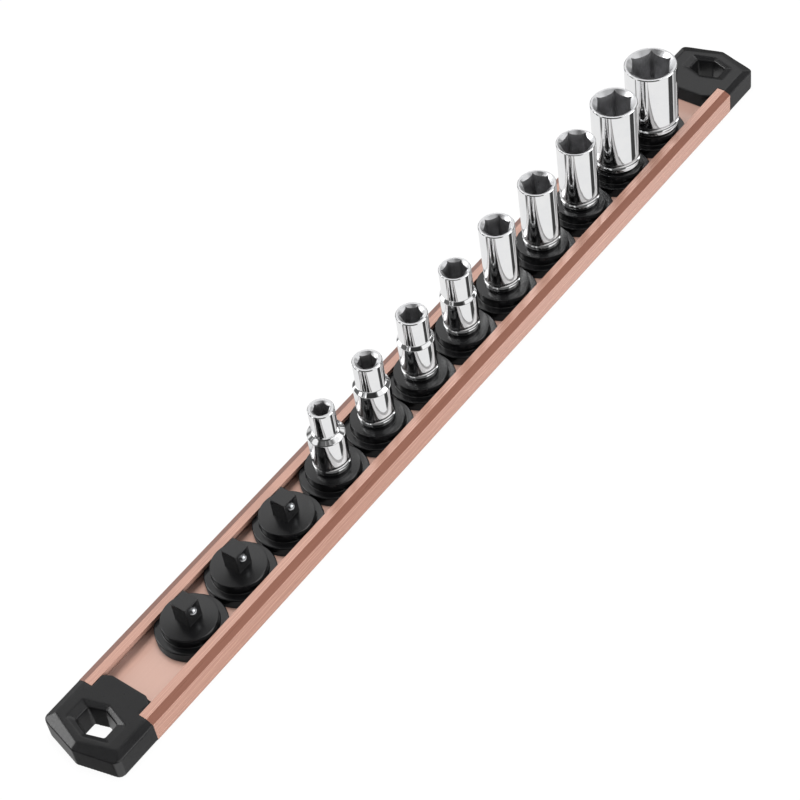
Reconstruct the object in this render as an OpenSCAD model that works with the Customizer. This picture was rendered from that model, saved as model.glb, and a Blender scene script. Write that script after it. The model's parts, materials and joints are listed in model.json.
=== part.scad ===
// Socket organizer rail: an aluminium channel with end caps, sliding ball-detent clips and sockets.
// Millimetres. +X runs along the rail to its far end, +Y to the side away from the detent balls.
// The origin is under the middle of the rail, on the surface that it stands on.

/* [Clips] */
// Diameter of the flange that slides under the rail's lips
flange_d = 22.3; // [21.6:0.1:26]
// Thickness of the flange
flange_t = 3.6; // [2.8:0.1:5]
// Diameter of the collar that stands between the lips
collar_d = 17.4; // [16.4:0.1:18.4]
// Height of the collar's rim above the flange
collar_h = 3.35; // [2.6:0.05:4.5]
// Height of the socket seat above the collar's rim
seat_rise = 0.4; // [0.2:0.05:0.8]
// Diameter of the flat socket seat around the post
seat_d = 12; // [11:0.1:13]
// Gap between the flanges of neighbouring clips
clip_gap = 0.37; // [0.3:0.01:3]

/* [Drive posts] */
// Width of the square post across its flats
post_w = 5.8; // [5.5:0.05:6.1]
// Height of the post above its seat
post_h = 7.35; // [6.8:0.05:8.6]
// Chamfer round the top of the post
post_edge = 0.35; // [0.2:0.05:0.6]
// Height of the detent ball's centre above the seat
ball_rise = 4.05; // [3.6:0.05:4.6]
// Diameter of the detent ball
ball_d = 3.2; // [2.8:0.05:3.4]
// How far the ball stands out of the face of a free post
ball_show = 0.9; // [0.7:0.01:1]

/* [Detent springs] */
// Diameter of the spring wire
spring_wire = 0.36; // [0.3:0.01:0.45]
// Number of turns in each spring
spring_turns = 4; // [3:1:5]
// Material left behind the spring's bore
bore_back = 0.9; // [0.7:0.05:1.2]

/* [Rail] */
// Thickness of the channel's floor
floor_t = 2.9; // [2.4:0.1:4]
// Thickness of the two lips
lip_t = 1.6; // [1.2:0.05:2.2]
// Thickness of the walls beside the channel
wall_t = 3.05; // [2.6:0.05:4.5]
// Width of the bevel along each top edge
rail_bevel_w = 2.35; // [1:0.05:2.6]
// Height of the bevel along each top edge
rail_bevel_h = 1.15; // [0.6:0.05:1.6]
// Free channel between the near cap and the first clip
near_free = 15.7; // [5:0.1:60]
// Free channel between the last clip and the far cap
far_free = 10.4; // [5:0.1:60]

/* [End caps] */
// Length of a cap beyond the end of the rail
cap_len = 19; // [17:0.5:30]
// How far the middle of a cap's end stands beyond its corners
cap_point = 3.5; // [2:0.1:5]
// Radius of the cap's two corners
cap_corner_r = 2.4; // [1.5:0.1:4]
// Width of the bevel in the middle of the cap's end
cap_bevel_w = 2.5; // [1.5:0.1:3]
// Width of that bevel at the two sides of the cap
cap_bevel_side_w = 4; // [3:0.1:4.5]
// Height of that bevel in the middle of the cap's end
cap_bevel_h = 0.8; // [0.5:0.05:1.1]
// Length of the tongue that fills the rail's end
tongue_len = 6.05; // [5.8:0.05:10]

/* [Hanging holes] */
// Distance from the end of the rail to the middle of the hole
hole_x = 8.3; // [8:0.05:9]
// Width of the hole between its side corners, along the rail
hole_len = 8.8; // [8:0.1:9.4]
// Length of the hole between its two flats, across the rail
hole_wide = 11.2; // [9:0.1:11.6]
// Length of each flat of the hole
hole_flat = 5.2; // [4:0.1:6]
// Depth of the bevel round the top of the hole
funnel_depth = 0.7; // [0.4:0.05:1.5]

/* [Sockets] */
// Overall length of a socket
socket_h = 25; // [22:0.5:32]
// Diameter of the drive end of the smaller sockets
base_d = 11.85; // [11.6:0.05:12.4]
// Step between hexagon sizes
hex_step = 0.794; // [0.78:0.002:0.81]
// Thickness of the wall at the corners of the hexagon
corner_wall = 1.4; // [1.2:0.05:1.6]
// Depth of the hexagon
hex_depth = 12; // [9:0.5:14]
// Depth of the square drive hole
drive_depth = 9; // [8.8:0.1:10]
// Length of the narrow mouth on the stepped sockets
mouth_len = 9.6; // [6:0.1:11]
// Length of the cone between mouth and base
cone_len = 1.2; // [0.8:0.1:2.5]

/* [Cap screws] */
// Diameter of the screw's shank
screw_d = 2.9; // [2.6:0.1:3.2]
// Diameter of the screw's countersunk head
screw_head_d = 5.4; // [5:0.1:5.8]
// Length of the screw
screw_len = 6.6; // [5.6:0.1:7]

/* [Hidden] */
clip_n = 12;
free_n = 3;
socket_n = clip_n - free_n;
round_fn = 96;
hex_fn = 6;

// Clearances
clip_floor_gap = 0.05;
clip_lip_gap = 0.25;
clip_side_gap = 0.15;
collar_side_gap = 0.55;
seat_gap = 0.03;
drive_gap = 0.325;
ball_fit = 0.03;
detent_gap = 0.045;
detent_side_gap = 0.07;
pressed_gap = 0.04;
spring_gap = 0.04;
tongue_gap = 0.08;
screw_fit = 0.05;
cut = 0.5;

// Small details of the clips
flange_round = 0.5;
collar_round = 0.35;
collar_foot = 0.4;
collar_top_w = 0.5;
ball_lip_t = 0.15;
underside_w = 1.6;
underside_depth = 0.8;

// Small details of the sockets
foot_edge = 0.7;
ring_z = 3.05;
ring_h = 2.2;
ring_depth = 0.34;
mouth_edge_share = 0.15;
lead_slope_share = 0.7;
flare_start_share = 0.71;
flare_tip_share = 1.068;
through_share = 0.8;

// The nine hexagons in steps, the wall at each one's corners, how much of it the lead-in takes,
// and how far each is turned
hex_steps_shares = [6, 7, 8, 9, 10, 11, 12, 14, 16];
wall_shares = [1, 1.09, 1.01, 0.76, 0.96, 0.94, 0.8, 1.15, 1.21];
lead_in_shares = [0.28, 0.45, 0.42, 0.42, 0.42, 0.45, 0.5, 0.48, 0.5];
turn_shares = [0.4, 0.32, 0.08, 0.12, 0.42, 0.82, 0, 0.52, 0.5];
sixth_turn = 60;

// Small details of the caps and screws
hole_foot_share = 0.84;
funnel_len_share = 1.36;
funnel_wide_share = 1.5;
tongue_chamfer_x = 1.5;
tongue_chamfer_y = 2.7;
screw_head_h = 1.5;
screw_tip_h = 0.8;
recess_w = 0.9;
recess_depth = 0.9;

// Derived sizes
flange_r = flange_d / 2;
collar_r = collar_d / 2;
ball_r = ball_d / 2;
post_half = post_w / 2;
pitch = flange_d + clip_gap;
channel_half = flange_r + clip_side_gap;
slot_half = collar_r + collar_side_gap;
rail_half = channel_half + wall_t;
lip_z = floor_t + clip_floor_gap + flange_t + clip_lip_gap;
rail_h = lip_z + lip_t;
row_len = clip_n * flange_d + (clip_n - 1) * clip_gap;
rail_len = 2 * tongue_len + near_free + far_free + row_len;
rail_end = rail_len / 2;
first_x = -rail_end + tongue_len + near_free + flange_r;
clip_z = floor_t + clip_floor_gap;
rim_z = clip_z + flange_t + collar_h;
seat_z = rim_z + seat_rise;
ball_z = seat_z + ball_rise;
socket_z = seat_z + seat_gap;
screw_x = rail_end - tongue_len / 2;

// Detent sizes: the ball's centre lies this deep behind the post's face, free and pressed in
free_depth = ball_r - ball_show;
pressed_depth = ball_r - drive_gap + pressed_gap;
mouth_depth = free_depth - ball_lip_t;
ball_mouth_r = sqrt(ball_r * ball_r - mouth_depth * mouth_depth) + ball_fit;
ball_bore_r = ball_r + ball_fit;
bore_depth = post_w - bore_back;
ball_bite = ball_show - drive_gap;
ball_bite_r = sqrt(ball_r * ball_r - (ball_r - ball_bite) * (ball_r - ball_bite));
detent_depth = ball_bite + detent_gap;
detent_w = 2 * (ball_bite_r + detent_side_gap);
coil_r = ball_r - spring_wire;
ball_reach = ball_r + spring_wire / 2 + spring_gap;
coil_reach = sqrt(ball_reach * ball_reach - coil_r * coil_r);

// Radius of the round groove near a socket's foot
ring_curve_r = (ring_h * ring_h / 4 + ring_depth * ring_depth) / (2 * ring_depth);

function two_digits(n) = n < 10 ? str("0", n) : str(n);
function clip_x(i) = first_x + (i - 1) * pitch;
function has_socket(i) = i > free_n;
function ball_depth(i) = has_socket(i) ? pressed_depth : free_depth;
function hex_af(i) = hex_step * hex_steps_shares[i - 1];
function hex_corner_r(i) = hex_af(i) / sqrt(3);
function mouth_r(i) = hex_corner_r(i) + corner_wall * wall_shares[i - 1];
function body_r(i) = max(base_d / 2, mouth_r(i));
function mouth_edge(i) = mouth_edge_share * (mouth_r(i) - hex_corner_r(i));
function hex_bend_turn() = atan(flare_start_share * tan(sixth_turn / 2));
function hex_bend_r(i) = hex_af(i) / 2 / cos(hex_bend_turn());
function around(r, a) = [r * cos(a), r * sin(a)];
function lead_r(i) = hex_corner_r(i) + lead_in_shares[i - 1] * (mouth_r(i) - hex_corner_r(i));
function through_r(i) = min(hex_af(i), post_w) / 2 * through_share;

// Outer cross-section of the rail, which the caps carry on
module rail_outline() {
    polygon([
        [-rail_half, 0],
        [rail_half, 0],
        [rail_half, rail_h - rail_bevel_h],
        [rail_half - rail_bevel_w, rail_h],
        [-rail_half + rail_bevel_w, rail_h],
        [-rail_half, rail_h - rail_bevel_h]
    ]);
}

// Draws a cross-section in Y and Z along X, from x = 0
module along_x(length) {
    rotate([90, 0, 90]) linear_extrude(length) children();
}

// Space that a cap screw takes in the pieces round it
module screw_space(x) {
    translate([x, 0, -cut])
        cylinder(h = screw_len + screw_fit + cut, r = screw_d / 2 + screw_fit, $fn = round_fn);
    translate([x, 0, 0])
        cylinder(
            h = screw_head_h + screw_fit,
            r1 = screw_head_d / 2 + screw_fit,
            r2 = screw_d / 2 + screw_fit,
            $fn = round_fn
        );
}

module rail() {
    color([0.78, 0.55, 0.47])
    difference() {
        translate([-rail_end, 0, 0]) along_x(rail_len) rail_outline();
        translate([-rail_end - cut, 0, 0]) along_x(rail_len + 2 * cut) {
            translate([-channel_half, floor_t]) square([2 * channel_half, lip_z - floor_t]);
            translate([-slot_half, floor_t]) square([2 * slot_half, rail_h - floor_t + cut]);
        }
        for (side = [-1, 1]) screw_space(side * screw_x);
    }
}

// Plan of a cap: a low point at its end and two rounded corners
module cap_plan() {
    slope_len = norm([cap_point, rail_half]);
    normal = [rail_half, cap_point] / slope_len;
    centre_y = rail_half - cap_corner_r;
    centre_x = cap_len - (centre_y * cap_point + cap_corner_r * slope_len) / rail_half;
    touch = [centre_x, centre_y] + cap_corner_r * normal;
    polygon([
        [0, -rail_half],
        [centre_x, -rail_half],
        [touch[0], -touch[1]],
        [cap_len, 0],
        touch,
        [centre_x, rail_half],
        [0, rail_half]
    ]);
    for (side = [-1, 1])
        translate([centre_x, side * centre_y]) circle(r = cap_corner_r, $fn = round_fn);
}

// Cuts the bevel off the top of one end face of a cap: it widens and falls towards the side
module cap_end_bevel() {
    reach = 2 * rail_half;
    turn = atan2(cap_point + cap_bevel_side_w - cap_bevel_w, rail_half);
    fall = cap_bevel_h / cap_bevel_w / cos(turn);
    translate([cap_len - cap_bevel_w, 0, rail_h])
        rotate([0, 0, turn])
        translate([0, reach, 0])
        rotate([90, 0, 0])
        linear_extrude(2 * reach)
        polygon([
            [-cut, fall * cut],
            [reach, fall * cut],
            [reach, -fall * reach]
        ]);
}

module hanging_hexagon() {
    half_flat = hole_flat / 2;
    half_wide = hole_wide / 2;
    half_len = hole_len / 2;
    polygon([
        [half_len, 0],
        [half_flat, half_wide],
        [-half_flat, half_wide],
        [-half_len, 0],
        [-half_flat, -half_wide],
        [half_flat, -half_wide]
    ]);
}

// Hanging hole: drawn in towards the underside, with a bevel that opens it at the top
module hanging_hole() {
    neck_z = rail_h - funnel_depth;
    translate([hole_x, 0, 0])
        linear_extrude(neck_z, scale = 1 / hole_foot_share)
        scale(hole_foot_share) hanging_hexagon();
    translate([hole_x, 0, -cut])
        linear_extrude(2 * cut) scale(hole_foot_share) hanging_hexagon();
    translate([hole_x, 0, neck_z])
        linear_extrude(funnel_depth, scale = [funnel_len_share, funnel_wide_share]) hanging_hexagon();
}

// Plug under the cap's tongue: it fills the channel from floor to lips
module cap_plug() {
    plug_half = channel_half - tongue_gap;
    tongue_half = slot_half - tongue_gap;
    translate([-tongue_len, -plug_half, floor_t])
        cube([tongue_len, 2 * plug_half, lip_z - floor_t - tongue_gap]);
    translate([0, 0, floor_t])
        linear_extrude(rail_h - floor_t)
        polygon([
            [0, -tongue_half],
            [-tongue_len + tongue_chamfer_x, -tongue_half],
            [-tongue_len, -tongue_half + tongue_chamfer_y],
            [-tongue_len, tongue_half - tongue_chamfer_y],
            [-tongue_len + tongue_chamfer_x, tongue_half],
            [0, tongue_half]
        ]);
}

// End cap for the far end: side is 1 there and -1 at the near end
module end_cap(side) {
    color([0.13, 0.13, 0.14])
    mirror([side < 0 ? 1 : 0, 0, 0])
    difference() {
        translate([rail_end, 0, 0])
        difference() {
            union() {
                difference() {
                    intersection() {
                        linear_extrude(rail_h) cap_plan();
                        along_x(cap_len) rail_outline();
                    }
                    cap_end_bevel();
                    mirror([0, 1, 0]) cap_end_bevel();
                }
                cap_plug();
            }
            hanging_hole();
        }
        screw_space(screw_x);
    }
}

// Countersunk self-tapping screw, put in from the underside
module cap_screw(side) {
    color([0.6, 0.61, 0.63])
    translate([side * screw_x, 0, 0])
    difference() {
        rotate_extrude($fn = round_fn)
            polygon([
                [0, 0],
                [screw_head_d / 2, 0],
                [screw_d / 2, screw_head_h],
                [screw_d / 2, screw_len - screw_tip_h],
                [0, screw_len]
            ]);
        for (turn = [0, 90])
            rotate([0, 0, turn])
            translate([-screw_d / 2, -recess_w / 2, -cut])
            cube([screw_d, recess_w, recess_depth + cut]);
    }
}

// Round body of a clip: flange, collar and the shallow cone up to the socket seat
module clip_base() {
    flange_top = clip_z + flange_t;
    rotate_extrude($fn = round_fn)
        polygon([
            [0, clip_z],
            [flange_r, clip_z],
            [flange_r, flange_top - flange_round],
            [flange_r - flange_round, flange_top],
            [collar_r + collar_foot, flange_top],
            [collar_r, flange_top + collar_foot],
            [collar_r, rim_z - collar_round],
            [collar_r - collar_round, rim_z],
            [collar_r - collar_round - collar_top_w, rim_z],
            [seat_d / 2, seat_z],
            [0, seat_z]
        ]);
}

// Square post with a chamfer round its top
module drive_post() {
    top_z = seat_z + post_h;
    foot_z = seat_z - seat_rise;
    intersection_for(turn = [0, 90])
        rotate([0, 0, turn])
        translate([-post_half, 0, 0])
        along_x(post_w)
        polygon([
            [-post_half, foot_z],
            [post_half, foot_z],
            [post_half, top_z - post_edge],
            [post_half - post_edge, top_z],
            [-post_half + post_edge, top_z],
            [-post_half, top_z - post_edge]
        ]);
}

// Draws a cylinder into the post from its -Y face
module into_post(from, to, r) {
    translate([0, -post_half + from, ball_z])
        rotate([-90, 0, 0])
        cylinder(h = to - from, r = r, $fn = round_fn);
}

module clip(i) {
    color([0.12, 0.12, 0.13])
    translate([clip_x(i), 0, 0])
    difference() {
        union() {
            clip_base();
            drive_post();
        }
        into_post(-cut, ball_lip_t + cut, ball_mouth_r);
        into_post(ball_lip_t, bore_depth, ball_bore_r);
        translate([0, 0, clip_z - cut])
            difference() {
                cylinder(h = underside_depth + cut, r = collar_r, $fn = round_fn);
                translate([0, 0, -cut])
                    cylinder(h = underside_depth + 3 * cut, r = collar_r - underside_w, $fn = round_fn);
            }
    }
}

module detent_ball(i) {
    color([0.8, 0.81, 0.83])
    translate([clip_x(i), -post_half + ball_depth(i), ball_z])
        sphere(r = ball_r, $fn = round_fn);
}

// Coil spring between the ball and the end of its bore, as one swept tube with closed ends
module detent_spring(i) {
    wire_r = spring_wire / 2;
    start = ball_depth(i) + coil_reach;
    length = bore_depth - wire_r - spring_gap - start;
    ring_n = 8 * spring_turns + 1;
    side_n = 6;
    rise = length / (ring_n - 1);
    tilt = atan2(length / spring_turns, 2 * PI * coil_r);
    points = [
        for (k = [0 : ring_n - 1])
            let (turn = 45 * k, out = [cos(turn), 0, sin(turn)], along = [-sin(turn), 0, cos(turn)])
            for (j = [0 : side_n - 1])
                let (a = 60 * j, up = [0, cos(tilt), 0] - sin(tilt) * along)
                coil_r * out + [0, start + rise * k, 0] + wire_r * (cos(a) * out + sin(a) * up)
    ];
    sides = [
        for (k = [0 : ring_n - 2])
            for (j = [0 : side_n - 1])
                let (a = k * side_n + j, b = k * side_n + (j + 1) % side_n)
                for (face = [[a, b, b + side_n], [a, b + side_n, a + side_n]]) face
    ];
    first_end = [for (j = [1 : side_n - 2]) [0, j + 1, j]];
    last = (ring_n - 1) * side_n;
    last_end = [for (j = [1 : side_n - 2]) [last, last + j, last + j + 1]];
    color([0.7, 0.71, 0.73])
    translate([clip_x(i), -post_half, ball_z])
        polyhedron(points = points, faces = concat(sides, first_end, last_end));
}

// Outside of a socket: foot, shallow round groove, base, cone and mouth
module socket_outside(i) {
    step_z = socket_h - mouth_len - cone_len;
    difference() {
        rotate_extrude($fn = round_fn)
            polygon([
                [0, 0],
                [body_r(i) - foot_edge, 0],
                [body_r(i), foot_edge],
                [body_r(i), step_z],
                [mouth_r(i), step_z + cone_len],
                [mouth_r(i), socket_h - mouth_edge(i)],
                [mouth_r(i) - mouth_edge(i), socket_h],
                [0, socket_h]
            ]);
        rotate_extrude($fn = round_fn)
            translate([body_r(i) - ring_depth + ring_curve_r, ring_z])
            circle(r = ring_curve_r, $fn = round_fn);
    }
}

// Hexagon of a socket, each side bent outwards near its two corners
module socket_hexagon(i) {
    bend = sixth_turn / 2 - hex_bend_turn();
    translate([0, 0, socket_h - hex_depth])
        rotate([0, 0, sixth_turn * turn_shares[i - 1]])
        linear_extrude(hex_depth + cut)
        polygon([
            for (k = [1 : hex_fn])
                for (side = [-1 : 1])
                    side == 0
                        ? around(flare_tip_share * hex_corner_r(i), sixth_turn * k)
                        : around(hex_bend_r(i), sixth_turn * k + side * bend)
        ]);
}

// Inside of a socket: hexagon with its lead-in, clearance bore, square drive and detent groove
module socket_inside(i) {
    drive_w = post_w + 2 * drive_gap;
    lead_depth = lead_slope_share * (lead_r(i) - hex_af(i) / 2);
    socket_hexagon(i);
    translate([0, 0, socket_h - lead_depth])
        cylinder(
            h = lead_depth + cut,
            r1 = hex_af(i) / 2,
            r2 = lead_r(i) + cut / lead_slope_share,
            $fn = round_fn
        );
    cylinder(h = socket_h, r = through_r(i), $fn = round_fn);
    translate([-drive_w / 2, -drive_w / 2, -cut])
        cube([drive_w, drive_w, drive_depth + cut]);
    translate([0, 0, ball_z - socket_z - detent_w / 2])
        cylinder(h = detent_w, r = drive_w / 2 + detent_depth, $fn = round_fn);
}

module socket(i) {
    color([0.85, 0.86, 0.88])
    translate([clip_x(i + free_n), 0, socket_z])
    difference() {
        socket_outside(i);
        socket_inside(i);
    }
}

rail();
end_cap(-1);  // end_cap_near
end_cap(1);  // end_cap_far
cap_screw(-1);  // cap_screw_near
cap_screw(1);  // cap_screw_far
for (i = [1 : clip_n]) {
    clip(i);
    detent_ball(i);
    detent_spring(i);
}
for (i = [1 : socket_n]) {
    socket(i);
}
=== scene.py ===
"""Looks of the socket rail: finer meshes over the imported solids, their materials, the light and the camera.

Metres throughout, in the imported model's frame: +X along the rail, +Y across it, +Z up.
"""
import json
import math

import bmesh
import bpy
from mathutils import Matrix, Vector

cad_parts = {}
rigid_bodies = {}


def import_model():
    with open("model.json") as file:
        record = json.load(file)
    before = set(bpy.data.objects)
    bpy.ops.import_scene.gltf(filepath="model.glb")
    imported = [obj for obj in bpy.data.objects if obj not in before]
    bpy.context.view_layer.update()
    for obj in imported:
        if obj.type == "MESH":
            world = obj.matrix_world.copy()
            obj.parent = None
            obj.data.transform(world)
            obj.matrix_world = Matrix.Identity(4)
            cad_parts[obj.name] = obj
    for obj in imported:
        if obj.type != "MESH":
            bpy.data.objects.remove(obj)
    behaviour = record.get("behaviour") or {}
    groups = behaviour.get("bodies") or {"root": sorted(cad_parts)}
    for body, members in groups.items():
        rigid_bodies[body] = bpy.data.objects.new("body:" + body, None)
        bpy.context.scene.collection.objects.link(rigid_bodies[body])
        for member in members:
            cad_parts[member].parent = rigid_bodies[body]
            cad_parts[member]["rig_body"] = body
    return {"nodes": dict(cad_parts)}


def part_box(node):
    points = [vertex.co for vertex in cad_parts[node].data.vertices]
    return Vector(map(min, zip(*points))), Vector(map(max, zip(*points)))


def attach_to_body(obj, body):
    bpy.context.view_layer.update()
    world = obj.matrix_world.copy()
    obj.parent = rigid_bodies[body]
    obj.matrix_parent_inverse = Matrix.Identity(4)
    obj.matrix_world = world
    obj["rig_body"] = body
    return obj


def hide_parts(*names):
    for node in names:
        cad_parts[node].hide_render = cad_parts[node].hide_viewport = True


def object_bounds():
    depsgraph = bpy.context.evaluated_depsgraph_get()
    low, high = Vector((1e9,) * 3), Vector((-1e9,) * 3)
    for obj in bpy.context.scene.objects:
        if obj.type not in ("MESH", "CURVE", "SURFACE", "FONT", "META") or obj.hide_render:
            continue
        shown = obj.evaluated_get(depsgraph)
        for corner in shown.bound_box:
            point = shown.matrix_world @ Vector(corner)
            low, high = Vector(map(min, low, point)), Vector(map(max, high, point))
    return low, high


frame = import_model()
cad_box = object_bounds()

MM = 0.001
CLIP_COUNT = 12
FREE_CLIPS = 3
SOCKET_COUNT = CLIP_COUNT - FREE_CLIPS

# Camera: it looks at a point on the rail from the near end's left, rolled a little
CAMERA_TARGET = Vector((-0.0224, -0.0022, 0.010))
CAMERA_DISTANCE = 0.6657
CAMERA_AZIMUTH = math.radians(-45.73)
CAMERA_ELEVATION = math.radians(47.345)
CAMERA_ROLL = math.radians(-9.93)
CAMERA_LENS = 95.97
CAMERA_CLIP_START = 0.01

# Clip sizes that the solids' boxes don't give, from the part's source, worked-out ones rounded
COLLAR_D = 17.4 * MM
FLANGE_T = 3.6 * MM
COLLAR_H = 3.35 * MM
SEAT_RISE = 0.4 * MM
POST_W = 5.8 * MM
BALL_MOUTH_R = 1.533 * MM
BALL_RISE = 4.05 * MM
BORE_LEN = 4.9 * MM
UNDERSIDE_W = 1.6 * MM
UNDERSIDE_DEPTH = 0.8 * MM

# Socket sizes that the solids' boxes don't give, from the part's source, worked-out ones rounded
BASE_D = 11.85 * MM
HEX_STEP = 0.794 * MM
CORNER_WALL = 1.4 * MM
HEX_DEPTH = 12.0 * MM
DRIVE_DEPTH = 9.0 * MM
DRIVE_GAP = 0.325 * MM
MOUTH_LEN = 9.6 * MM
CONE_LEN = 1.2 * MM
FOOT_EDGE = 0.7 * MM
RING_Z = 3.05 * MM
RING_H = 2.2 * MM
RING_DEPTH = 0.34 * MM
DETENT_DEPTH = 0.62 * MM
DETENT_W = 2.6 * MM
LEAD_SLOPE = 0.7
MOUTH_EDGE_SHARE = 0.15
FLARE_START_SHARE = 0.71
FLARE_TIP_SHARE = 1.068
THROUGH_SHARE = 0.8
HEX_STEPS = (6, 7, 8, 9, 10, 11, 12, 14, 16)
WALL_SHARES = (1, 1.09, 1.01, 0.76, 0.96, 0.94, 0.8, 1.15, 1.21)
LEAD_IN_SHARES = (0.28, 0.45, 0.42, 0.42, 0.42, 0.45, 0.5, 0.48, 0.5)
TURN_SHARES = (0.4, 0.32, 0.08, 0.12, 0.42, 0.82, 0, 0.52, 0.5)
SIXTH_TURN = math.radians(60)
QUARTER_TURN = math.radians(90)

# Mesh fineness
WELD = 0.001 * MM
SHARP_ANGLE = math.radians(32)
ROUND_STEPS = 96
BORE_STEPS = 48
GROOVE_STEPS = 8
BEND_STEPS = 4
SIDE_STEPS = 11
LEAST_STEP = 0.015

# Edges of the rail and the caps that only the looks need
RAIL_EDGE = 0.1 * MM
RAIL_FLAT_ANGLE = math.radians(1)
RAIL_EDGE_ANGLE = math.radians(12)
LEVEL_NORMAL = 0.97
BEVEL_NORMAL = 0.7
BEVEL_LEAST_AREA = 100 * MM * MM
CAP_VOXEL = 0.25 * MM
CAP_SMOOTHING = 6
CAP_SHARP_ANGLE = math.radians(60)

# Edges of the clips that only the looks need
GROOVE_EDGE = 0.1 * MM
FLANGE_FOOT_EDGE = 0.2 * MM
FLANGE_TOP_EDGE = 0.45 * MM
COLLAR_FILLET = 0.35 * MM
COLLAR_RIM_EDGE = 0.2 * MM
SEAT_CURVE = 2.4 * MM
SEAT_START_SHARE = 0.6
POST_CORNER = 0.2 * MM
POST_CORNER_LEAST = 0.12 * MM
POST_EDGE = 0.2 * MM
POST_EDGE_MID_SHARE = 0.3
POST_SINK = 0.1 * MM
POST_SPREAD = 0.1 * MM
POST_SPREAD_H = 0.4 * MM
POST_SPREAD_MID_SHARE = 0.4
POST_SPREAD_MID_H_SHARE = 0.3

# Edges of the sockets that only the looks need
FOOT_FLAT_SHARE = 1.45
FOOT_INNER_EDGE = 0.2 * MM
FOOT_OUTER_EDGE = 0.3 * MM
RING_LOWER_EDGE = 0.12 * MM
RING_UPPER_EDGE = 0.08 * MM
CONE_FOOT_EDGE = 0.5 * MM
CONE_TOP_EDGE = 0.8 * MM
RIM_OUTER_SHARE = 0.7
RIM_INNER_SHARE = 0.4
HEX_FLOOR_CONE = 0.5 * MM
DRIVE_LEAD = 0.3 * MM

# Material slots on the rail and on a socket
# On the rail, the floor's slot carries painted light and the bevels' slot painted shade.
RAIL_FLOOR_PAINTED_LIGHT, RAIL_BEVEL_PAINTED_SHADE = 1, 2
CHROME, BORE, GROUND = 0, 1, 2

# What a shiny surface sees, as (azimuth, half its width, elevation, half its height, softness, level).
# A later panel covers an earlier one. Degrees, from +X towards +Y.
PANELS = (
    (0, 181, -55, 35, 8, 0.85),
    (8, 22, -52, 27, 12, 0.35),
    (340, 14, -52, 27, 8, 0.3),
    (160, 20, -50, 40, 6, 0.12),
    (143, 14, -64, 12, 6, 0.05),
    (92, 14, -60, 11, 6, 0.35),
    (24, 18, 44, 12, 10, 1.0),
    (55, 18, 44.5, 11.5, 8, 1.0),
    (138, 14, 45, 10, 6, 0.9),
    (150, 12, 24, 8, 6, 1.5),
    (282, 30, 29, 29, 6, 0.95),
    (302, 14, 28, 12, 6, 2.5),
    (320, 12, 36, 8, 6, 1.2),
    (200, 44, 32, 20, 6, 0.03),
    (105, 12, 42, 8, 6, 6.5),
    (10, 11, 61, 7, 5, 3.5),
    (86, 20, 22, 8, 8, 0.95),
    (64, 20, 4, 8, 8, 0.6),
    (4, 20, 24, 8, 8, 0.85),
    (336, 10, -18, 8, 6, 3.0),
    (112, 18, -8, 12, 8, 1.5),
    (240, 35, 70, 7, 6, 0.8),
    (306, 13.5, -47, 11, 3, 0.05),
)
ROOM_LEVEL = 0.12
MATT_LEVEL = 0.6
FLOOR_HALF = 4
FLOOR_DROP = 0.02 * MM
FLOOR_GLOW = 0.92


def number(k):
    return f"{k:02d}"


def clip_centre(k):
    """Middle of clip k, on its underside."""
    low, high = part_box("clip_" + number(k))
    return Vector(((low.x + high.x) / 2, (low.y + high.y) / 2, low.z))


# Mesh helpers


def solid_mesh(node):
    """A bmesh of a CAD node, its double vertices joined."""
    mesh_data = bmesh.new()
    mesh_data.from_mesh(frame["nodes"][node].data)
    bmesh.ops.remove_doubles(mesh_data, verts=mesh_data.verts, dist=WELD)
    return mesh_data


def finish_mesh(mesh_data, name, body, node, materials):
    """Turns a bmesh into a smooth-shaded piece that stands for a CAD node and rides on its body."""
    bmesh.ops.recalc_face_normals(mesh_data, faces=mesh_data.faces)
    for face in mesh_data.faces:
        face.smooth = True
    mesh = bpy.data.meshes.new(name)
    mesh_data.to_mesh(mesh)
    mesh_data.free()
    mesh.set_sharp_from_angle(angle=SHARP_ANGLE)
    for material in materials:
        mesh.materials.append(material)
    piece = bpy.data.objects.new(name, mesh)
    bpy.context.scene.collection.objects.link(piece)
    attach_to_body(piece, body)
    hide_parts(node)
    weight_normals(piece)
    return piece


def keep_modified(piece):
    """Replaces a piece's mesh by what its modifiers make of it."""
    bpy.context.view_layer.update()
    evaluated = piece.evaluated_get(bpy.context.evaluated_depsgraph_get())
    mesh = bpy.data.meshes.new_from_object(evaluated)
    piece.modifiers.clear()
    piece.data = mesh


def weight_normals(piece):
    """Gives every large face its own normal, so that it looks flat or truly round beside its eased edges."""
    weighted = piece.modifiers.new("weighted_normals", "WEIGHTED_NORMAL")
    weighted.mode = "FACE_AREA"
    weighted.keep_sharp = True
    keep_modified(piece)


def rounded(corners, steps=5):
    """An open outline from corners (r, z, radius), each radius worked in as a short curve."""
    points = []
    for k, (r, z, radius) in enumerate(corners):
        here = Vector((r, z))
        if radius == 0:
            points.append(here)
            continue
        back = Vector(corners[k - 1][:2]) - here
        ahead = Vector(corners[k + 1][:2]) - here
        reach = min(radius / math.tan(back.angle(ahead) / 2), back.length / 2, ahead.length / 2)
        start = here + reach * back.normalized()
        end = here + reach * ahead.normalized()
        for step in range(steps + 1):
            t = step / steps
            points.append(start * (1 - t) ** 2 + 2 * here * t * (1 - t) + end * t ** 2)
    return points


def bridge(mesh_data, lower, upper, material=0):
    """Joins two rings of as many vertices with quads."""
    count = len(lower)
    for k in range(count):
        following = (k + 1) % count
        face = mesh_data.faces.new((lower[k], lower[following], upper[following], upper[k]))
        face.material_index = material


def add_ring(mesh_data, centre, angles, radius, height):
    """Vertices in a ring about a vertical axis. radius and height are numbers or functions of the angle."""
    ring = []
    for a in angles:
        r = radius(a) if callable(radius) else radius
        z = height(a) if callable(height) else height
        ring.append(mesh_data.verts.new(centre + Vector((r * math.cos(a), r * math.sin(a), z))))
    return ring


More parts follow.
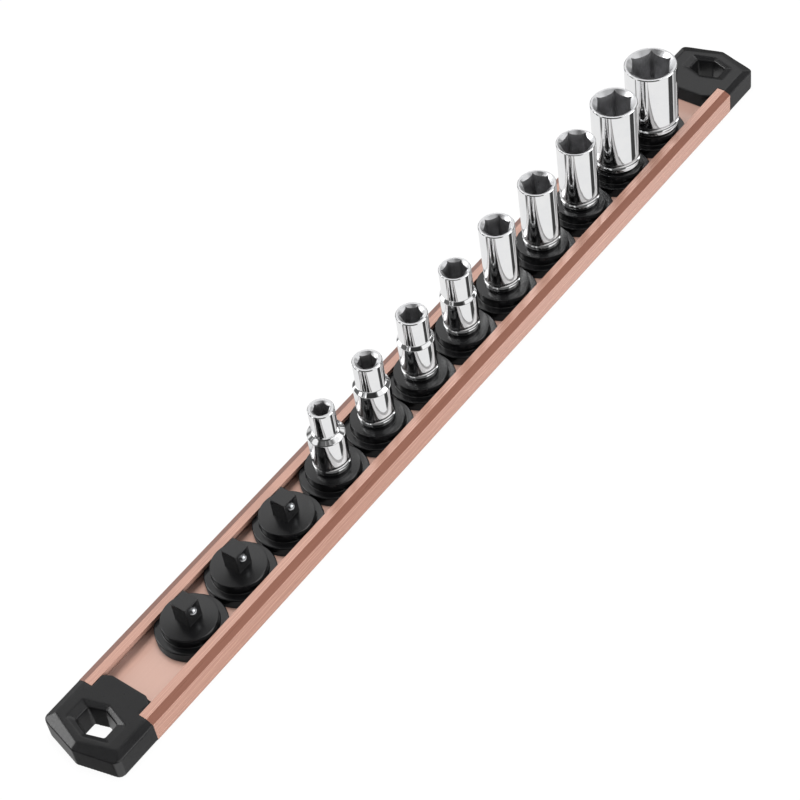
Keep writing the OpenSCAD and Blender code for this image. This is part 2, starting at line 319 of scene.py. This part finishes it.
def add_lathe(mesh_data, centre, outline):
    """A solid of revolution about a vertical axis, from an outline that starts and ends on it."""
    angles = [math.tau * k / ROUND_STEPS for k in range(ROUND_STEPS)]
    rings = []
    for r, z in outline:
        if r < WELD:
            rings.append([mesh_data.verts.new(centre + Vector((0, 0, z)))])
        else:
            rings.append(add_ring(mesh_data, centre, angles, r, z))
    for low, high in zip(rings, rings[1:]):
        if len(low) == 1 or len(high) == 1:
            tip, ring = (low[0], high) if len(low) == 1 else (high[0], low)
            for k in range(ROUND_STEPS):
                mesh_data.faces.new((tip, ring[k], ring[(k + 1) % ROUND_STEPS]))
        else:
            bridge(mesh_data, low, high)


# Materials


class Shader:
    """A short way to build one node material around a Principled shader."""

    def __init__(self, name, **inputs):
        self.material = bpy.data.materials.new(name)
        self.material.use_nodes = True
        self.tree = self.material.node_tree
        self.principled = self.tree.nodes["Principled BSDF"]
        for key, value in inputs.items():
            self.principled.inputs[key.replace("_", " ")].default_value = value
        self.coordinates = self.tree.nodes.new("ShaderNodeTexCoord").outputs["Object"]

    def node(self, kind, links=None, **settings):
        """A node whose inputs are linked to other nodes or set to values."""
        made = self.tree.nodes.new(kind)
        for key, value in settings.items():
            setattr(made, key, value)
        for socket, source in (links or {}).items():
            if isinstance(source, bpy.types.NodeSocket):
                self.tree.links.new(source, made.inputs[socket])
            else:
                made.inputs[socket].default_value = source
        return made

    def noise(self, scale, detail=3.0, roughness=0.5, stretch=(1, 1, 1)):
        """Noise of about `scale` cells a metre, stretched along the axes by the given factors."""
        mapping = self.node(
            "ShaderNodeMapping", {"Vector": self.coordinates, "Scale": tuple(scale / s for s in stretch)}
        )
        return self.node(
            "ShaderNodeTexNoise",
            {"Vector": mapping.outputs[0], "Scale": 1.0, "Detail": detail, "Roughness": roughness},
        ).outputs["Fac"]

    def span(self, value, low, high):
        """Maps the middle half of a texture's range to low … high."""
        return self.node(
            "ShaderNodeMapRange",
            {"Value": value, "From Min": 0.25, "From Max": 0.75, "To Min": low, "To Max": high},
        ).outputs["Result"]

    def add(self, first, second):
        return self.node("ShaderNodeMath", {0: first, 1: second}, operation="ADD").outputs[0]

    def blend(self, factor, first, second):
        """A colour between two colours."""
        return self.node("ShaderNodeMix", {0: factor, 6: first, 7: second}, data_type="RGBA").outputs[2]

    def bump(self, height, distance, strength):
        return self.node(
            "ShaderNodeBump", {"Height": height, "Distance": distance, "Strength": strength}
        ).outputs["Normal"]

    def drive(self, **sockets):
        """Links the Principled shader's inputs to what drives them, and gives the finished material."""
        for key, source in sockets.items():
            self.tree.links.new(source, self.principled.inputs[key.replace("_", " ")])
        return self.material


def rgb(red, green, blue):
    """A colour given as 0 to 255 in sRGB, as a linear one."""
    def linear(value):
        value /= 255
        return value / 12.92 if value <= 0.04045 else ((value + 0.055) / 1.055) ** 2.4
    return linear(red), linear(green), linear(blue), 1.0


def anodised_aluminium(name, metallic, roughness, dark, light, patch, painted_reflection):
    """Satin anodised metal drawn along X. The last colour is a painted reflection: what shinier surfaces
    nearby mirror in place of the metal's own colour.
    """
    s = Shader(name, Metallic=metallic, Coat_Weight=1.0, Coat_IOR=1.65, Coat_Roughness=0.2)
    grain = s.noise(4200, detail=4, roughness=0.65, stretch=(120, 1, 1))
    broad = s.noise(60, detail=2, stretch=(6, 1, 1))
    colour = s.blend(s.span(grain, 0, 1), dark, light)
    colour = s.blend(s.span(broad, 0, 0.25), colour, patch)
    # Painted reflection: glossy rays see the given colour in place of the metal's own.
    colour = s.blend(s.node("ShaderNodeLightPath").outputs["Is Glossy Ray"], colour, painted_reflection)
    return s.drive(
        Base_Color=colour,
        Roughness=s.span(grain, roughness - 0.04, roughness + 0.04),
        Normal=s.bump(grain, 0.01 * MM, 0.4),
    )


def moulded_nylon(name, dark, light, specular, roughness):
    """Black moulded plastic with a fine spark-eroded grain and faint flow marks."""
    s = Shader(name, Specular_IOR_Level=specular)
    grain = s.noise(5200, detail=3, roughness=0.6)
    flow = s.noise(170, detail=2)
    wear = s.noise(900, detail=4, roughness=0.7)
    return s.drive(
        Base_Color=s.blend(s.span(flow, 0, 1), dark, light),
        Roughness=s.add(s.span(wear, roughness - 0.03, roughness + 0.03), s.span(grain, -0.02, 0.02)),
        Normal=s.bump(grain, 0.02 * MM, 0.35),
    )


def polished_chrome():
    """Outside of a socket: bright plating with a faint haze and fine scratches round it."""
    s = Shader("polished_chrome", Metallic=1.0)
    haze = s.noise(260, detail=4, roughness=0.6)
    scratches = s.noise(5000, detail=2, stretch=(1, 1, 30))
    return s.drive(
        Base_Color=s.blend(s.span(haze, 0, 1), (0.90, 0.905, 0.915, 1), (0.95, 0.95, 0.95, 1)),
        Roughness=s.add(s.span(haze, 0.03, 0.07), s.span(scratches, 0, 0.02)),
        Normal=s.bump(haze, 0.01 * MM, 0.15),
    )


def ground_chrome():
    """Rim and lead-in of a socket: faced before plating, so a little duller than the outside."""
    s = Shader("ground_chrome", Metallic=1.0)
    haze = s.noise(700, detail=4, roughness=0.6)
    return s.drive(
        Base_Color=s.blend(s.span(haze, 0, 1), rgb(236, 237, 239), rgb(246, 246, 247)),
        Roughness=s.span(haze, 0.26, 0.34),
        Normal=s.bump(haze, 0.01 * MM, 0.2),
    )


def broached_steel():
    """Inside of a socket: plated but unpolished, with fine lines left by the broach."""
    s = Shader("broached_steel", Metallic=0.8)
    lines = s.noise(4800, detail=3, roughness=0.6, stretch=(1, 1, 60))
    patches = s.noise(380, detail=3)
    return s.drive(
        Base_Color=s.blend(s.span(patches, 0, 1), rgb(160, 160, 162), rgb(190, 190, 192)),
        Roughness=s.span(lines, 0.26, 0.32),
        Normal=s.bump(lines, 0.005 * MM, 0.3),
    )


def polished_steel():
    """The balls."""
    s = Shader("polished_steel", Metallic=1.0)
    haze = s.noise(1500, detail=3)
    return s.drive(
        Base_Color=s.blend(s.span(haze, 0, 1), rgb(214, 216, 220), rgb(228, 230, 232)),
        Roughness=s.span(haze, 0.05, 0.12),
    )


def spring_wire():
    """The coils behind the balls."""
    s = Shader("spring_wire", Metallic=1.0)
    drawn = s.noise(9000, detail=3)
    return s.drive(
        Base_Color=s.blend(s.span(drawn, 0, 1), rgb(150, 151, 153), rgb(176, 177, 180)),
        Roughness=s.span(drawn, 0.24, 0.36),
    )


def zinc_plate():
    """The screws in the caps."""
    s = Shader("zinc_plate", Metallic=1.0)
    grain = s.noise(2600, detail=4, roughness=0.6)
    return s.drive(
        Base_Color=s.blend(s.span(grain, 0, 1), rgb(176, 180, 190), rgb(198, 200, 204)),
        Roughness=s.span(grain, 0.22, 0.36),
        Normal=s.bump(grain, 0.01 * MM, 0.3),
    )


# Rail and caps


def build_rail(finish, floor_painted_light_finish, bevel_painted_shade_finish):
    """The CAD rail with its flat faces joined up and its edges eased.

    The channel's floor is duller than the rest and has painted light, a lighter colour; the bevels have
    painted shade, a darker colour.
    """
    mesh_data = solid_mesh("rail")
    bmesh.ops.dissolve_limit(
        mesh_data, angle_limit=RAIL_FLAT_ANGLE, verts=mesh_data.verts, edges=mesh_data.edges
    )
    corners = [
        e for e in mesh_data.edges if len(e.link_faces) == 2 and e.calc_face_angle() > RAIL_EDGE_ANGLE
    ]
    bmesh.ops.bevel(
        mesh_data, geom=corners, offset=RAIL_EDGE, segments=3, profile=0.5, affect="EDGES",
        clamp_overlap=True
    )
    floor_z = clip_centre(1).z
    # The channel's floor gets painted light, a lighter colour, and the large bevels painted shade, a darker
    # one.
    for face in mesh_data.faces:
        if face.normal.z > LEVEL_NORMAL and 0 < face.calc_center_median().z < floor_z:
            face.material_index = RAIL_FLOOR_PAINTED_LIGHT
        elif BEVEL_NORMAL < face.normal.z < LEVEL_NORMAL and face.calc_area() > BEVEL_LEAST_AREA:
            face.material_index = RAIL_BEVEL_PAINTED_SHADE
    finishes = [finish, floor_painted_light_finish, bevel_painted_shade_finish]
    return finish_mesh(mesh_data, "rail_extrusion", "rail", "rail", finishes)


def build_cap(end, joint_x, material):
    """A cap remeshed finely and smoothed, so that every edge but those at the joint is softly rounded."""
    node = "end_cap_" + end
    body = frame["nodes"][node]["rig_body"]
    piece = finish_mesh(solid_mesh(node), "cap_moulding_" + end, body, node, [])
    remesh = piece.modifiers.new("remesh", "REMESH")
    remesh.mode = "VOXEL"
    remesh.voxel_size = CAP_VOXEL
    keep_modified(piece)
    soft = piece.vertex_groups.new(name="soft")
    away_from_joint = [v.index for v in piece.data.vertices if abs(abs(v.co.x) - joint_x) > CAP_VOXEL]
    soft.add(away_from_joint, 1.0, "REPLACE")
    smooth = piece.modifiers.new("smooth", "SMOOTH")
    smooth.factor = 0.5
    smooth.iterations = CAP_SMOOTHING
    smooth.vertex_group = "soft"
    keep_modified(piece)
    piece.data.materials.append(material)
    piece.data.shade_smooth()
    piece.data.set_sharp_from_angle(angle=CAP_SHARP_ANGLE)
    return piece


# Clips


def build_clip(k, material):
    """Flange, collar and shallow cone as one turned form, with the square post standing in it."""
    centre = clip_centre(k)
    low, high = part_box("clip_" + number(k))
    flange_r = (high.x - low.x) / 2
    collar_r = COLLAR_D / 2
    groove_r = collar_r - UNDERSIDE_W
    rim = FLANGE_T + COLLAR_H
    seat = rim + SEAT_RISE
    mesh_data = bmesh.new()
    add_lathe(mesh_data, centre, rounded([
        (0, 0, 0),
        (groove_r, 0, GROOVE_EDGE),
        (groove_r, UNDERSIDE_DEPTH, GROOVE_EDGE),
        (collar_r, UNDERSIDE_DEPTH, GROOVE_EDGE),
        (collar_r, 0, GROOVE_EDGE),
        (flange_r, 0, FLANGE_FOOT_EDGE),
        (flange_r, FLANGE_T, FLANGE_TOP_EDGE),
        (collar_r, FLANGE_T, COLLAR_FILLET),
        (collar_r, rim, COLLAR_RIM_EDGE),
        (POST_W * SEAT_START_SHARE, seat, SEAT_CURVE),
        (0, seat, 0),
    ]))
    body = "clip_" + number(k)
    piece = finish_mesh(mesh_data, "clip_base_" + number(k), body, body, [material])
    post = build_post(k, centre, seat, high.z - low.z, material)
    post.parent = piece
    post.matrix_parent_inverse = piece.matrix_world.inverted()
    return piece


def post_outline(half, corner, steps=4):
    """A square with rounded corners, as points round it."""
    points = []
    for quarter in range(4):
        middle = Vector((half - corner, half - corner))
        for step in range(steps + 1):
            a = QUARTER_TURN * step / steps
            p = middle + corner * Vector((math.cos(a), math.sin(a)))
            points.append(Matrix.Rotation(QUARTER_TURN * quarter, 2) @ p)
    return points


def build_post(k, centre, foot, top, material):
    """Square post with rounded corners, a spread foot, a chamfered top and the mouth of the ball's bore."""
    mesh_data = bmesh.new()
    half = POST_W / 2
    edge_mid = POST_EDGE_MID_SHARE * POST_EDGE
    levels = [
        (half + POST_SPREAD, foot - POST_SINK),
        (half + POST_SPREAD_MID_SHARE * POST_SPREAD, foot + POST_SPREAD_MID_H_SHARE * POST_SPREAD_H),
        (half, foot + POST_SPREAD_H),
        (half, top - POST_EDGE),
        (half - edge_mid, top - edge_mid),
        (half - POST_EDGE, top),
    ]
    rings = []
    for reach, z in levels:
        corner = max(POST_CORNER - (half - reach), POST_CORNER_LEAST)
        outline = post_outline(reach, corner)
        rings.append([mesh_data.verts.new(centre + Vector((p.x, p.y, z))) for p in outline])
    for low, high in zip(rings, rings[1:]):
        bridge(mesh_data, low, high)
    mesh_data.faces.new(rings[-1])
    mesh_data.faces.new(reversed(rings[0]))
    body = "clip_" + number(k)
    piece = finish_mesh(mesh_data, "clip_post_" + number(k), body, body, [material])
    cut_ball_bore(piece, centre + Vector((0, -half, foot + BALL_RISE)))
    return piece


def cut_ball_bore(piece, mouth):
    """Opens the ball's bore in the post's -Y face."""
    cutter_data = bmesh.new()
    bmesh.ops.create_cone(
        cutter_data, cap_ends=True, segments=BORE_STEPS, radius1=BALL_MOUTH_R, radius2=BALL_MOUTH_R,
        depth=2 * BORE_LEN
    )
    mesh = bpy.data.meshes.new("bore_cutter")
    cutter_data.to_mesh(mesh)
    cutter_data.free()
    cutter = bpy.data.objects.new("bore_cutter", mesh)
    bpy.context.scene.collection.objects.link(cutter)
    cutter.matrix_world = Matrix.Translation(mouth) @ Matrix.Rotation(QUARTER_TURN, 4, "X")
    bpy.context.view_layer.update()
    modifier = piece.modifiers.new("bore", "BOOLEAN")
    modifier.operation = "DIFFERENCE"
    modifier.object = cutter
    modifier.solver = "EXACT"
    keep_modified(piece)
    piece.data.set_sharp_from_angle(angle=SHARP_ANGLE)
    weight_normals(piece)
    bpy.data.objects.remove(cutter)


# Sockets


def ring_groove(r):
    """The shallow round groove near a socket's foot, as outline corners from its lower edge up."""
    half = RING_H / 2
    curve_r = (half ** 2 + RING_DEPTH ** 2) / (2 * RING_DEPTH)
    reach = math.asin(half / curve_r)
    corners = []
    for n in range(GROOVE_STEPS + 1):
        a = reach * (2 * n / GROOVE_STEPS - 1)
        corners.append((r + curve_r - RING_DEPTH - curve_r * math.cos(a), RING_Z + curve_r * math.sin(a), 0))
    corners[0] = (*corners[0][:2], RING_LOWER_EDGE)
    corners[-1] = (*corners[-1][:2], RING_UPPER_EDGE)
    return corners


def socket_outside(k, length, drive_half):
    """Outline of socket k from its foot up to the lead-in's outer edge."""
    corner_r = HEX_STEP * HEX_STEPS[k - 1] / 2 / math.cos(SIXTH_TURN / 2)
    mouth_r = corner_r + CORNER_WALL * WALL_SHARES[k - 1]
    body_r = max(BASE_D / 2, mouth_r)
    wall = mouth_r - corner_r
    lead_r = corner_r + LEAD_IN_SHARES[k - 1] * wall
    rim_edge = MOUTH_EDGE_SHARE * wall
    cone_z = length - MOUTH_LEN - CONE_LEN
    cone = [(body_r, cone_z, CONE_FOOT_EDGE), (mouth_r, cone_z + CONE_LEN, CONE_TOP_EDGE)]
    return rounded([
        (drive_half * FOOT_FLAT_SHARE, 0, 0),
        (body_r - FOOT_EDGE, 0, FOOT_INNER_EDGE),
        (body_r, FOOT_EDGE, FOOT_OUTER_EDGE),
        *ring_groove(body_r),
        *(cone if body_r > mouth_r + WELD else []),
        (mouth_r, length - rim_edge, RIM_OUTER_SHARE * rim_edge),
        (mouth_r - rim_edge, length, RIM_INNER_SHARE * rim_edge),
        (lead_r, length, 0),
    ])


def socket_angles(turn, bend):
    """Angles of a socket's rings: close by the hexagon's corners, and one at each corner of the drive."""
    angles = set()
    for sixth in range(6):
        start = turn + sixth * SIXTH_TURN
        angles |= {start + bend * n / BEND_STEPS for n in range(-BEND_STEPS, BEND_STEPS + 1)}
        angles |= {start + bend + (SIXTH_TURN - 2 * bend) * n / SIDE_STEPS for n in range(1, SIDE_STEPS)}
    angles = {round(a % math.tau, 6) for a in angles}
    for corner in [round(QUARTER_TURN / 2 * (2 * n + 1), 6) for n in range(4)]:
        angles = {a for a in angles if abs(a - corner) > LEAST_STEP} | {corner}
    return sorted(angles)


def build_socket(k, chrome, bore, ground):
    """A socket as rings from its drive hole, up its outside and down the hexagon, closed on themselves."""
    low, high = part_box("socket_" + number(k))
    centre = Vector((clip_centre(k + FREE_CLIPS).x, 0, low.z))
    length = high.z - low.z
    apothem = HEX_STEP * HEX_STEPS[k - 1] / 2
    turn = SIXTH_TURN * TURN_SHARES[k - 1]
    tip_r = FLARE_TIP_SHARE * apothem / math.cos(SIXTH_TURN / 2)
    bend = SIXTH_TURN / 2 - math.atan(FLARE_START_SHARE * math.tan(SIXTH_TURN / 2))
    bend_r = apothem / math.cos(SIXTH_TURN / 2 - bend)
    through_r = min(2 * apothem, POST_W) / 2 * THROUGH_SHARE
    drive_half = POST_W / 2 + DRIVE_GAP
    ball_low, ball_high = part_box("detent_ball_" + number(k + FREE_CLIPS))
    groove_z = (ball_low.z + ball_high.z) / 2 - low.z
    outside = socket_outside(k, length, drive_half)
    lead_r = outside[-1].x

    def hexagon(a):
        """The six-point hexagon, each side bent outwards near its two corners."""
        off = abs((a - turn + SIXTH_TURN / 2) % SIXTH_TURN - SIXTH_TURN / 2)
        if off > bend:
            return apothem / math.cos(SIXTH_TURN / 2 - off)
        return tip_r * bend_r * math.sin(bend) / (tip_r * math.sin(off) + bend_r * math.sin(bend - off))

    def square(a):
        return drive_half / math.cos((a + QUARTER_TURN / 2) % QUARTER_TURN - QUARTER_TURN / 2)

    def groove(a):
        return max(square(a), drive_half + DETENT_DEPTH)

    inside = [
        (hexagon, lambda a: length - (lead_r - hexagon(a)) * LEAD_SLOPE),
        (hexagon, length - HEX_DEPTH),
        (through_r, length - HEX_DEPTH - HEX_FLOOR_CONE),
        (through_r, DRIVE_DEPTH),
        (square, DRIVE_DEPTH),
        (square, groove_z + DETENT_W / 2),
        (groove, groove_z + DETENT_W / 2),
        (groove, groove_z - DETENT_W / 2),
        (square, groove_z - DETENT_W / 2),
        (square, DRIVE_LEAD),
        (lambda a: square(a) + DRIVE_LEAD, 0),
    ]
    mesh_data = bmesh.new()
    angles = socket_angles(turn, bend)
    rings = [add_ring(mesh_data, centre, angles, r, z) for r, z in [*outside[1:], *inside]]
    first_inside = len(rings) - len(inside)
    for n, ring in enumerate(rings):
        if n < first_inside - 2 or n == len(rings) - 1:
            finish = CHROME
        elif n < first_inside:
            finish = GROUND
        else:
            finish = BORE
        bridge(mesh_data, ring, rings[(n + 1) % len(rings)], finish)
    body = "socket_" + number(k)
    finishes = [chrome, bore, ground]
    return finish_mesh(mesh_data, "socket_shell_" + number(k), body, body, finishes)


# Light, floor and camera


def studio_world():
    """Even light for matt surfaces, and for shiny ones pale panels in a dark room."""
    world = bpy.data.worlds.new("studio")
    bpy.context.scene.world = world
    world.use_nodes = True
    tree = world.node_tree
    background = tree.nodes["Background"]

    def attach(made, links):
        for key, source in links.items():
            if isinstance(source, bpy.types.NodeSocket):
                tree.links.new(source, made.inputs[key])
            else:
                made.inputs[key].default_value = source
        return made.outputs[0]

    def math_node(operation, *values):
        made = tree.nodes.new("ShaderNodeMath")
        made.operation = operation
        return attach(made, dict(enumerate(values)))

    def within(distance, half, softness):
        """1 inside the half width and 0 outside it, with a soft edge."""
        made = tree.nodes.new("ShaderNodeMapRange")
        made.interpolation_type = "SMOOTHSTEP"
        return attach(made, {
            "Value": distance,
            "From Min": half - softness / 2,
            "From Max": half + softness / 2,
            "To Min": 1.0,
            "To Max": 0.0,
        })

    def mix(share, first, second):
        return attach(tree.nodes.new("ShaderNodeMix"), {0: share, 2: first, 3: second})

    direction = tree.nodes.new("ShaderNodeTexCoord").outputs["Generated"]
    axes = tree.nodes.new("ShaderNodeSeparateXYZ")
    tree.links.new(direction, axes.inputs[0])
    around = math_node("DEGREES", math_node("ARCTAN2", axes.outputs["Y"], axes.outputs["X"]))
    up = math_node("DEGREES", math_node("ARCSINE", axes.outputs["Z"]))
    shiny = ROOM_LEVEL
    for azimuth, half_width, elevation, half_height, softness, level in PANELS:
        turned = math_node("WRAP", math_node("SUBTRACT", around, azimuth), 180.0, -180.0)
        across = within(math_node("ABSOLUTE", turned), half_width, softness)
        height = within(math_node("ABSOLUTE", math_node("SUBTRACT", up, elevation)), half_height, softness)
        shiny = mix(math_node("MULTIPLY", across, height), shiny, level)
    rays = tree.nodes.new("ShaderNodeLightPath").outputs
    matt = mix(rays["Is Camera Ray"], MATT_LEVEL, 1.0)
    tree.links.new(mix(rays["Is Glossy Ray"], matt, shiny), background.inputs["Strength"])
    background.inputs["Color"].default_value = (1, 1, 1, 1)


def area_lamp(name, place, size, power):
    """A lamp that shines on the part's middle and that shiny surfaces don't show."""
    data = bpy.data.lights.new(name, "AREA")
    data.energy = power
    data.shape = "RECTANGLE"
    data.size, data.size_y = size
    lamp = bpy.data.objects.new(name, data)
    bpy.context.scene.collection.objects.link(lamp)
    lamp.location = place
    lamp.rotation_euler = (-Vector(place)).to_track_quat("-Z", "Y").to_euler()
    lamp.visible_glossy = False


def pale_floor():
    """A white floor that shows the object's shadow and stays out of the reflections."""
    mesh_data = bmesh.new()
    bmesh.ops.create_grid(mesh_data, x_segments=1, y_segments=1, size=FLOOR_HALF)
    mesh = bpy.data.meshes.new("floor")
    mesh_data.to_mesh(mesh)
    mesh_data.free()
    floor = bpy.data.objects.new("floor", mesh)
    bpy.context.scene.collection.objects.link(floor)
    floor.location.z = cad_box[0][2] - FLOOR_DROP
    material = bpy.data.materials.new("floor_white")
    material.use_nodes = True
    tree = material.node_tree
    principled = tree.nodes["Principled BSDF"]
    principled.inputs["Base Color"].default_value = (0.86, 0.86, 0.86, 1)
    principled.inputs["Roughness"].default_value = 0.9
    glow = tree.nodes.new("ShaderNodeEmission")
    mix = tree.nodes.new("ShaderNodeMixShader")
    rays = tree.nodes.new("ShaderNodeLightPath").outputs
    share = tree.nodes.new("ShaderNodeMath")
    share.operation = "MULTIPLY"
    share.inputs[1].default_value = FLOOR_GLOW
    tree.links.new(rays["Is Camera Ray"], share.inputs[0])
    tree.links.new(share.outputs[0], mix.inputs[0])
    tree.links.new(principled.outputs[0], mix.inputs[1])
    tree.links.new(glow.outputs[0], mix.inputs[2])
    tree.links.new(mix.outputs[0], tree.nodes["Material Output"].inputs["Surface"])
    mesh.materials.append(material)
    floor.visible_glossy = False


def photo_camera():
    """The photograph's camera."""
    a, e = CAMERA_AZIMUTH, CAMERA_ELEVATION
    look = Vector((-math.sin(a) * math.cos(e), math.cos(a) * math.cos(e), -math.sin(e)))
    right = Matrix.Rotation(CAMERA_ROLL, 3, -look) @ Vector((math.cos(a), math.sin(a), 0))
    up = (-look).cross(right)
    data = bpy.data.cameras.new("photo_camera")
    data.lens = CAMERA_LENS
    data.clip_start = CAMERA_CLIP_START
    camera = bpy.data.objects.new("photo_camera", data)
    bpy.context.scene.collection.objects.link(camera)
    rotation = Matrix((right, up, -look)).transposed().to_4x4()
    camera.matrix_world = Matrix.Translation(CAMERA_TARGET - CAMERA_DISTANCE * look) @ rotation
    bpy.context.scene.camera = camera


# The scene

photo_camera()
rail_finish = anodised_aluminium(
    "anodised_aluminium", metallic=0.35, roughness=0.26,
    dark=rgb(184, 140, 123), light=rgb(195, 150, 133), patch=rgb(180, 135, 118), painted_reflection=rgb(206, 204, 204)
)
# Painted shade: the bevels get a darker copy of the rail's colour, so that they look shaded from every side.
bevel_painted_shade_finish = anodised_aluminium(
    "anodised_bevel_painted_shade", metallic=0.5, roughness=0.3,
    dark=rgb(140, 93, 77), light=rgb(154, 105, 88), patch=rgb(135, 89, 74), painted_reflection=rgb(156, 154, 154)
)
# Painted light: the channel's floor gets a lighter copy of the rail's colour, so that it looks evenly lit
# under the lips.
floor_painted_light_finish = anodised_aluminium(
    "anodised_channel_floor_painted_light", metallic=0.1, roughness=0.5,
    dark=rgb(196, 158, 144), light=rgb(204, 167, 152), patch=rgb(190, 152, 138), painted_reflection=rgb(120, 118, 118)
)
cap_finish = moulded_nylon("cap_nylon", rgb(14, 14, 15), rgb(19, 19, 20), specular=0.58, roughness=0.3)
clip_finish = moulded_nylon("clip_nylon", rgb(8, 8, 9), rgb(12, 12, 13), specular=0.8, roughness=0.2)
chrome_finish = polished_chrome()
bore_finish = broached_steel()
ground_finish = ground_chrome()
ball_finish = polished_steel()
wire_finish = spring_wire()
zinc_finish = zinc_plate()

build_rail(rail_finish, floor_painted_light_finish, bevel_painted_shade_finish)
for end in ("near", "far"):
    build_cap(end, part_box("rail")[1].x, cap_finish)
    frame["nodes"]["cap_screw_" + end].material_slots[0].material = zinc_finish
for k in range(1, CLIP_COUNT + 1):
    build_clip(k, clip_finish)
    frame["nodes"]["detent_ball_" + number(k)].material_slots[0].material = ball_finish
    frame["nodes"]["detent_spring_" + number(k)].material_slots[0].material = wire_finish
for k in range(1, SOCKET_COUNT + 1):
    build_socket(k, chrome_finish, bore_finish, ground_finish)

studio_world()
area_lamp("key_light", place=(0, 0.1, 1.0), size=(0.6, 0.4), power=9.0)
area_lamp("side_light", place=(0, -0.9, 0.2), size=(0.9, 0.3), power=10.0)
pale_floor()

view = bpy.context.scene.view_settings
view.view_transform = "Standard"
